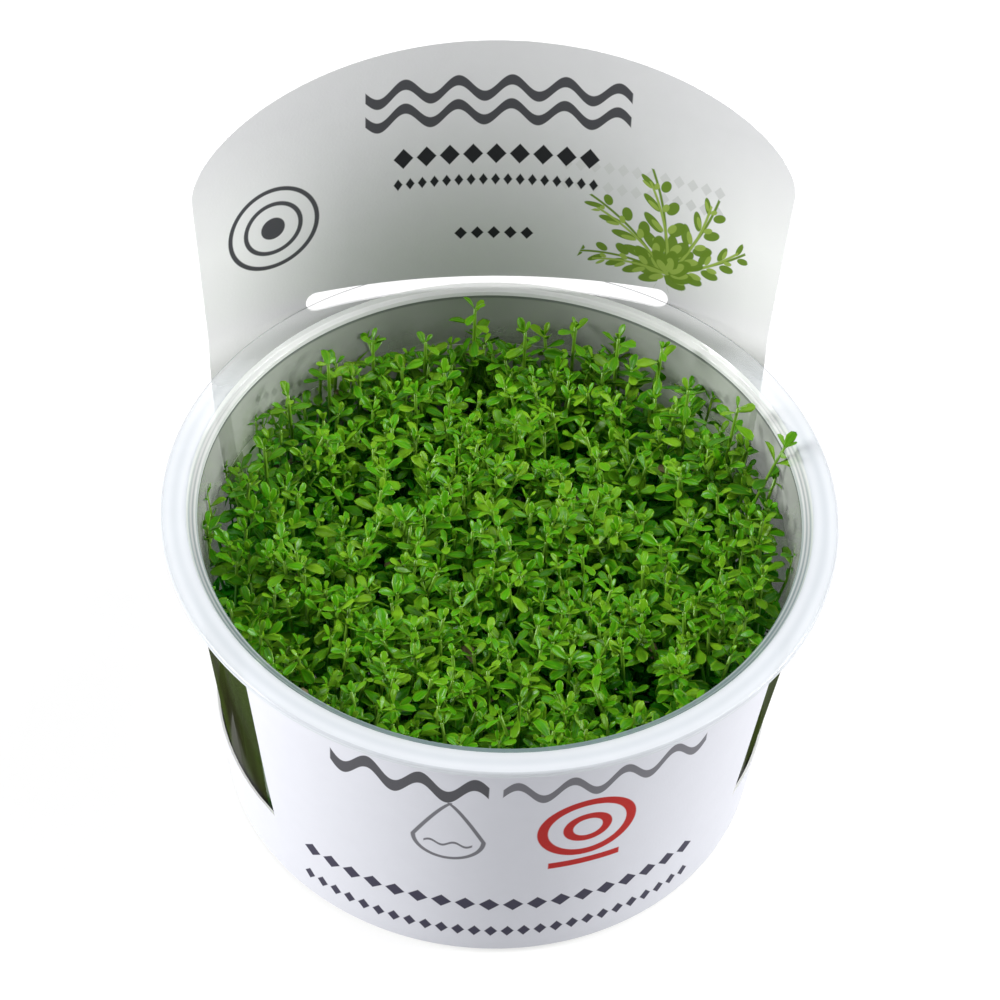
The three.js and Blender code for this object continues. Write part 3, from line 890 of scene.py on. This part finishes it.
# Cells of the card's grid from its foot up: the strap's, then on the back those below the slot, the slot's,
# those above it and those of the arch, and on the front panel those above the strap
STRAP_CELLS = 1
PANEL_CELLS = 8
ABOVE_SLOT_CELLS = 6
ARCH_CELLS = 6
FRONT_PANEL_CELLS = 4
SLOT_CELL = STRAP_CELLS + PANEL_CELLS
HEADER_CELLS = SLOT_CELL + 1 + ABOVE_SLOT_CELLS + ARCH_CELLS


def header_rows(across):
    """Heights of the card's grid lines at a place across the header, -1 to 1"""
    along = abs(across) * HEADER_FOOT_HALF_WIDTH
    past = max(0.0, along - (SLOT_HALF_LENGTH - SLOT_HALF_HEIGHT)) / SLOT_HALF_HEIGHT
    spread = SLOT_HALF_HEIGHT * math.sqrt(1 - past * past) if past < 1 else PAST_SLOT_HALF_HEIGHT
    arch = HEADER_ARCH_RISE * math.sqrt(max(0.0, 1 - across * across))
    start = CUP_HEIGHT + HEADER_ARCH_START
    foot = STRAP_TOP + NOTCH_FILLET
    dip = SLOT_DIP * max(0.0, 1 - (along / SLOT_HALF_LENGTH) ** 2)
    lower = even_steps(foot, SLOT_CENTRE - spread, PANEL_CELLS)
    upper = even_steps(SLOT_CENTRE + spread - dip, start, ABOVE_SLOT_CELLS)
    crown = even_steps(start, start + arch, ARCH_CELLS)[1:]
    return [SLEEVE_BOTTOM, *lower, *upper, *crown]


def panel_edge(z):
    """Azimuth where the back panel gives way to the strap"""
    return HEADER_FOOT_HALF_WIDTH / sleeve_radius(z)


# Where the front panel's edge is between the back panel's edge and the middle of the front
FRONT_SHARE = 1 - FRONT_HALF_ANGLE / (math.pi - panel_edge(STRAP_TOP))


def strap_top(distance):
    """Height of the strap's top at a distance from the back panel's edge, with the notch's fillet"""
    near = max(0.0, 1 - distance / NOTCH_FILLET)
    return STRAP_TOP + NOTCH_FILLET * (1 - math.sqrt(1 - near * near))


def header_column(across):
    """A column of the back panel and header at a place across it, -1 to 1"""
    column = {"kind": "header", "across": across, "points": [], "print": []}
    for z in header_rows(across):
        along = across * header_half_width(z)
        column["points"].append(on_back_panel(along, z))
        column["print"].append((along, z))
    return column


def wrap_column(side, share, kind, front_top=FRONT_TOP):
    """A column of the wrap: share 0 at the back panel's edge, 1 at the middle of the front. The front
    panel sits a little towards +X, and its edges slant outwards from the strap up"""
    edge = panel_edge(STRAP_TOP)
    top = strap_top(share * (math.pi - edge) * sleeve_radius(STRAP_TOP))
    rows = [SLEEVE_BOTTOM, top]
    if kind == "front":
        rows += even_steps(top, front_top, FRONT_PANEL_CELLS)[1:]
    turn = FRONT_TURN * min(1.0, share / FRONT_SHARE)
    to_edge = min(1.0, (1 - share) / (1 - FRONT_SHARE)) if kind == "front" else 0.0
    column = {"kind": kind, "across": 0, "points": [], "print": []}
    for z in rows:
        rise = min(1.0, max(0.0, (z - STRAP_TOP) / (FRONT_TOP - STRAP_TOP)))
        slant = FRONT_SLANT * (0.5 - rise) * to_edge
        from_front = mix(math.pi - panel_edge(min(z, STRAP_TOP + NOTCH_FILLET)), 0, share) - slant
        column["points"].append(on_wrap(side * (math.pi - from_front) - turn, z))
        column["print"].append((side * from_front * sleeve_radius(z), z))
    return column


def sleeve_columns():
    """All columns of the card in order round the cup, starting at the middle of the front"""
    mm_to_share = 1 / ((math.pi - panel_edge(STRAP_TOP)) * sleeve_radius(STRAP_TOP))
    half = []
    for mm in np.concatenate([np.linspace(0.5, NOTCH_FILLET, 8), np.linspace(10, 44, 16)]):
        half.append((mm * mm_to_share, "strap", 0))
    for step in range(9):
        mm = FRONT_CORNER * (1 - math.cos(math.pi / 2 * step / 8))
        top = FRONT_TOP - FRONT_CORNER + math.sqrt(FRONT_CORNER**2 - (FRONT_CORNER - mm) ** 2)
        half.append((FRONT_SHARE + mm * mm_to_share, "front", top))
    last = half[-1][0]
    for step in range(1, 24):
        half.append((mix(last, 1, step / 24), "front", FRONT_TOP))
    slot_end = SLOT_HALF_LENGTH / HEADER_FOOT_HALF_WIDTH
    slot_round = (SLOT_HALF_LENGTH - SLOT_HALF_HEIGHT) / HEADER_FOOT_HALF_WIDTH
    across = [slot_round * i / 16 for i in range(1, 17)]
    across += [mix(slot_round, slot_end, math.sin(math.pi / 2 * i / 7)) for i in range(1, 8)]
    across += [mix(slot_end, 1, math.sin(math.pi / 2 * i / 20)) for i in range(1, 21)]
    back = [header_column(u) for u in [-u for u in reversed(across)] + [0] + across]
    left = [wrap_column(-1, *place) for place in reversed(half)]
    right = [wrap_column(1, *place) for place in half]
    return [wrap_column(1, 1, "front"), *left, *back, *right]


def card_is_there(a, b, row):
    """Whether the card is there between two columns and two rows"""
    if row < 0:
        return False
    if a["kind"] == b["kind"] == "header":
        along = abs(a["across"] + b["across"]) / 2 * HEADER_FOOT_HALF_WIDTH
        return row < HEADER_CELLS and not (row == SLOT_CELL and along < SLOT_HALF_LENGTH)
    on_front = a["kind"] == b["kind"] == "front"
    return row < STRAP_CELLS + (FRONT_PANEL_CELLS if on_front else 0)


def add_sleeve(finishes):
    """The card as one closed skin: both faces of each grid cell, and a wall where a cell has no neighbour.
    finishes are the materials of the edges, the outside of the front and straps, the inside and the
    outside of the back, and the inside of the front and straps"""
    columns = sleeve_columns()
    count = len(columns)
    corners, index, faces, kinds, prints = [], {}, [], [], []

    def corner(i, row, side):
        key = (i % count, row, side)
        if key not in index:
            (x, y, z), out = columns[key[0]]["points"][row]
            step = side * CARD / 2
            index[key] = len(corners)
            corners.append((x + step * out[0], y + step * out[1], z))
        return index[key]

    def printed(i, row):
        return columns[i % count]["print"][row]

    def add(keys, kind):
        faces.append([corner(*key) for key in keys])
        kinds.append(kind)
        prints.append([printed(i, row) for i, row, side in keys])

    for i in range(count):
        here, after = columns[i], columns[(i + 1) % count]
        for row in range(HEADER_CELLS):
            if not card_is_there(here, after, row):
                continue
            is_back = here["kind"] == after["kind"] == "header"
            low, low_next, high, high_next = (i, row), (i + 1, row), (i, row + 1), (i + 1, row + 1)
            add([(*p, 1) for p in (low, high, high_next, low_next)], 3 if is_back else 1)
            add([(*p, -1) for p in (low, low_next, high_next, high)], 2 if is_back else 4)
            neighbours = (
                (here, after, row - 1, (low, low_next)),
                (here, after, row + 1, (high_next, high)),
                (columns[i - 1], here, row, (high, low)),
                (after, columns[(i + 2) % count], row, (low_next, high_next)),
            )
            for a, b, r, (start, end) in neighbours:
                if not card_is_there(a, b, r):
                    add([(*start, 1), (*end, 1), (*end, -1), (*start, -1)], 0)
    piece = make_piece("card_sleeve", corners, faces, finishes, ["sleeve"])
    layer = piece.data.uv_layers.new(name="print")
    for polygon, kind, corner_prints in zip(piece.data.polygons, kinds, prints):
        polygon.material_index = kind
        for loop, (along, z) in zip(polygon.loop_indices, corner_prints):
            layer.data[loop].uv = (PRINT_UNIT * along, PRINT_UNIT * z)
    piece.data.set_sharp_from_angle(angle=SHARP_ANGLE)


# Leaves and stems

# A leaf's outline: share of its length, share of its half width. Deep leaves have a coarser one.
LEAF_OUTLINE = ((0.14, 0.22), (0.38, 0.66), (0.67, 1.0), (0.91, 0.72))
LEAF_COLUMNS = (-1.0, -0.5, 0.0, 0.5, 1.0)
DEEP_LEAF_OUTLINE = ((0.35, 0.8), (0.75, 0.9))
DEEP_LEAF_COLUMNS = (-1.0, 0.0, 1.0)
LEAF_THICKNESS = 0.28

# How leaves differ: spread of azimuth and twist in radians and of rise in degrees; size against the level's
# length, width against the size, height of the fold along the midrib, and how far the tip curls down
AZIMUTH_SPREAD = 0.25
TWIST_SPREAD = 0.3
RISE_SPREAD = 13
LEAF_SIZES = (0.78, 1.18)
LEAF_WIDTHS = (0.36, 0.5)
LEAF_FOLDS = (0.2, 0.75)
LEAF_CURLS = (-0.12, 0.28)


def leaf_template(stations, columns):
    """One leaf's corners as share of length, share of half width, column and skin, and its faces"""
    rows = [(0.0, 0.0, 0.0, 0.0)]
    index = {}
    for i, (along, width) in enumerate(stations):
        for j, column in enumerate(columns):
            for skin in (1, -1):
                if abs(column) == 1 and skin == -1:
                    index[i, j, skin] = index[i, j, 1]
                    continue
                index[i, j, skin] = len(rows)
                rows.append((along, column * width, column, 0 if abs(column) == 1 else skin))
    tip = len(rows)
    rows.append((1.0, 0.0, 0.0, 0.0))
    faces = []
    last = len(stations) - 1
    for skin in (1, -1):
        for j in range(len(columns) - 1):
            faces.append((0, index[0, j, skin], index[0, j + 1, skin])[::skin])
            faces.append((tip, index[last, j + 1, skin], index[last, j, skin])[::skin])
            for i in range(last):
                near = (index[i, j, skin], index[i + 1, j, skin])
                far = (index[i + 1, j + 1, skin], index[i, j + 1, skin])
                faces.append((*near, *far)[::skin])
    return np.array(rows), faces


def leaf_rows(stem, levels, random, scale=1.0):
    """One row of numbers for each leaf: crossed pairs down a stem, upright and small at its tip"""
    rows = []
    turn = random.uniform(0, TURN)
    for level, (depth, length, rise) in enumerate(levels):
        at, axis = stem(depth * scale)
        if at is None:
            break
        side = axis.orthogonal().normalized()
        for k in (0, 1):
            azimuth = turn + level * math.pi / 2 + k * math.pi + random.normal(0, AZIMUTH_SPREAD)
            out = Matrix.Rotation(azimuth, 3, axis) @ side
            lift = math.radians(rise + random.normal(0, RISE_SPREAD))
            along = out * math.cos(lift) + axis * math.sin(lift)
            normal = axis * math.cos(lift) - out * math.sin(lift)
            normal = Matrix.Rotation(random.normal(0, TWIST_SPREAD), 3, along) @ normal
            size = scale * length * random.uniform(*LEAF_SIZES)
            width = size * random.uniform(*LEAF_WIDTHS)
            withered = random.uniform() < WITHERED_SHARE * depth
            age = WITHERED_AGE if withered else min(1.0, depth / OLD_DEPTH)
            rows.append((
                *at, *along, *normal.cross(along), *normal, size, width,
                random.uniform(*LEAF_FOLDS), random.uniform(*LEAF_CURLS), random.uniform(), age,
            ))
    return rows


def leaf_mesh(rows, stations, columns):
    """Corners, faces and colour values of all leaves, from their rows"""
    rows = np.array(rows)
    template, faces = leaf_template(stations, columns)
    at, along, side, normal = (rows[:, None, i : i + 3] for i in (0, 3, 6, 9))
    length, width, fold, curl, tone, age = (rows[:, i, None] for i in range(12, 18))
    u, v, column, skin = template.T
    x = length * u
    y = width / 2 * v
    crown = LEAF_THICKNESS / 2 * skin * (1 - column**2) * np.sin(math.pi * u)
    z = fold * width / 2 * np.abs(v) ** 1.4 - curl * length * u**2 + crown
    corners = at + x[..., None] * along + y[..., None] * side + z[..., None] * normal
    count = len(template)
    starts = np.arange(len(rows)) * count
    all_faces = [tuple(start + i for i in face) for start in starts.tolist() for face in faces]
    values = np.ones((len(rows), count, 4))
    values[..., 0] = tone
    values[..., 1] = age
    values[..., 2] = np.abs(column)
    return corners.reshape(-1, 3), all_faces, values.ravel()


def keep_inside(corners):
    """Presses what would stand through the cup's wall flat against its inside"""
    radius = np.hypot(corners[:, 0], corners[:, 1])
    limit = np.array([wall_inside(z) - GAP if z < CUP_HEIGHT - MOUTH_DROP else 1e3 for z in corners[:, 2]])
    share = np.minimum(1.0, limit / np.maximum(radius, 1e-6))
    corners[:, 0] *= share
    corners[:, 1] *= share
    return corners


def stem_mesh(paths):
    """Corners and faces of closed tapered tubes along paths of points and radii"""
    corners, faces = [], []
    for path in paths:
        base = len(corners)
        for (x, y, z), radius in path:
            for i in range(STEM_SIDES):
                angle = TURN * i / STEM_SIDES
                corners.append((x + radius * math.cos(angle), y + radius * math.sin(angle), z))
        for ring in range(len(path) - 1):
            for i in range(STEM_SIDES):
                a = base + ring * STEM_SIDES + i
                b = base + ring * STEM_SIDES + (i + 1) % STEM_SIDES
                faces.append((a, b, b + STEM_SIDES, a + STEM_SIDES))
        last = base + (len(path) - 1) * STEM_SIDES
        faces.append(tuple(base + i for i in reversed(range(STEM_SIDES))))
        faces.append(tuple(last + i for i in range(STEM_SIDES)))
    return np.array(corners), faces


def bowed_stem(foot, tip, bow):
    """A function from distance below the tip to point and direction, and the stem's path"""
    foot = Vector(foot)
    tip = Vector(tip)
    middle = (foot + tip) / 2 + Vector(bow)
    length = (tip - middle).length + (middle - foot).length

    def stem(depth):
        t = 1 - depth / length
        if t < 0:
            return None, None
        at = foot * (1 - t) ** 2 + middle * (2 * t * (1 - t)) + tip * t**2
        direction = (middle - foot) * (2 * (1 - t)) + (tip - middle) * (2 * t)
        return at, direction.normalized()

    path = []
    for i in range(STEM_RINGS):
        t = i / (STEM_RINGS - 1)
        path.append((stem(length * (1 - t))[0], STEM_RADIUS * (1 - 0.3 * t)))
    return stem, path


def canopy_top(x, y):
    """Mean height of the leaves' tips: gentle swells, lower by the wall at the back, and the places in
    SWELLS"""
    swell = math.sin(x * 0.11 + 1.3) * math.cos(y * 0.09 - 0.4)
    edge = smoothstep(math.hypot(x, y), 33, CANOPY_RADIUS)
    back = smoothstep(y, 5, 35)
    height = CANOPY_TOP + 1.0 * swell - edge * (0.2 + 1.0 * back)
    for centre_x, centre_y, spread, rise in SWELLS:
        height += rise * math.exp(-((x - centre_x) ** 2 + (y - centre_y) ** 2) / spread**2)
    return height


def carpet_plantlets(random):
    """Leaf rows by level and stem paths of the mat's plantlets, on jittered sunflower-seed places"""
    rows, deep_rows, paths = [], [], []
    for i in range(PLANTLETS):
        radius = CANOPY_RADIUS * math.sqrt((i + 0.5) / PLANTLETS)
        angle = i * GOLDEN_ANGLE
        x = radius * math.cos(angle) + random.normal(0, PLACE_SPREAD)
        y = radius * math.sin(angle) + random.normal(0, PLACE_SPREAD)
        top = min(CANOPY_LIMIT - TIP_ROOM, canopy_top(x, y) + random.normal(0, HEIGHT_SPREAD))
        lean = random.normal(0, LEAN_SPREAD, 2)
        tip = (x + lean[0], y + lean[1], top)
        foot = (x - lean[0], y - lean[1], GEL_TOP - 1)
        stem, path = bowed_stem(foot, tip, (*random.normal(0, BOW_SPREAD, 2), 0))
        paths.append(path)
        rows.append(leaf_rows(stem, LEAF_LEVELS, random, random.uniform(0.85, 1.12)))
        deep_rows += leaf_rows(stem, DEEP_LEVELS, random)
    return rows, deep_rows, paths


def add_leaf_values(piece, values):
    """Tone, age and distance from the midrib at each corner, for the leaf material"""
    layer = piece.data.color_attributes.new("leaf", "FLOAT_COLOR", "POINT")
    layer.data.foreach_set("color", values)


def add_carpet_leaves(name, rows, leaf, stations=LEAF_OUTLINE, columns=LEAF_COLUMNS):
    """One of the carpet's pieces of leaves"""
    corners, faces, values = leaf_mesh(rows, stations, columns)
    piece = make_piece(name, keep_inside(corners), faces, [leaf], ["carpet"])
    add_leaf_values(piece, values)


def add_carpet(leaf, stem_finish):
    """The mat: three pieces of leaves by level, one of deep leaves and one of stems"""
    random = np.random.default_rng(11)
    rows, deep_rows, paths = carpet_plantlets(random)
    for name, first, last in (("tip_leaves", 0, 4), ("leaves", 4, 8), ("lower_leaves", 8, 12)):
        share = [row for plantlet in rows for row in plantlet[first:last]]
        add_carpet_leaves("carpet_" + name, share, leaf)
    add_carpet_leaves("carpet_deep_leaves", deep_rows, leaf, DEEP_LEAF_OUTLINE, DEEP_LEAF_COLUMNS)
    corners, faces = stem_mesh(paths)
    make_piece("carpet_stems", keep_inside(corners), faces, [stem_finish], ["carpet"])


def add_shoots(leaf, stem_finish):
    """The tall shoots, each a piece of leaves and stem"""
    random = np.random.default_rng(5)
    for i, (azimuth, radius, height, lean) in enumerate(SHOOTS):
        node = f"shoot_{i + 1:02d}"
        out = Vector((math.sin(math.radians(azimuth)), math.cos(math.radians(azimuth)), 0))
        tip = out * (radius + lean) + Vector((0, 0, CUP_HEIGHT + height - 1.2))
        foot = out * (radius - lean / 2) + Vector((0, 0, SHOOT_FOOT))
        stem, path = bowed_stem(foot, tip, -out * lean / 4)
        rows = leaf_rows(stem, SHOOT_LEVELS, random, random.uniform(0.85, 1.1))
        corners, faces, values = leaf_mesh(rows, LEAF_OUTLINE, LEAF_COLUMNS)
        stem_corners, stem_faces = stem_mesh([path])
        start = len(corners)
        faces += [tuple(start + k for k in face) for face in stem_faces]
        corners = keep_inside(np.vstack([corners, stem_corners]))
        piece = make_piece(node + "_plant", corners, faces, [leaf, stem_finish], [node])
        for polygon in piece.data.polygons[len(faces) - len(stem_faces):]:
            polygon.material_index = 1
        add_leaf_values(piece, np.append(values, np.ones(4 * len(stem_corners))))


def stem_material():
    """Pale green wet stem, with painted green shade deep in the mat"""
    material, tree, shader = new_material("green_stem")
    shade = mixed(tree, noise(tree, 300), *STEM_GREENS)
    shade = mixed(tree, painted_shade_in_mat(tree), shade, PAINTED_SHADE_GREEN)
    tree.links.new(shade, shader.inputs["Base Color"])
    shader.inputs["Roughness"].default_value = 0.3
    bump(tree, shader, noise(tree, 1200, 2.0), 0.0001, 0.4)
    return material


add_camera()
add_stage()
add_cup()
add_gel()
# The plain faces take the front's darker white, painted shade included
bare = printed_card("bare_card", SHADED_FRONT_WHITE)
add_sleeve([
    printed_card("cut_edge", CUT_EDGE_WHITE),
    printed_card("front_print", SHADED_FRONT_WHITE, front_motifs),
    printed_card("header_print", HEADER_WHITE, header_motifs, HEADER_PAINTED_LIGHT_WHITE),
    bare,
    bare,
])
leaf_green = leaf_material("leaf_green", *LEAF_GREENS)
shoot_green = leaf_material("shoot_green", *SHOOT_GREENS)
stem_green = stem_material()
add_carpet(leaf_green, stem_green)
add_shoots(shoot_green, stem_green)
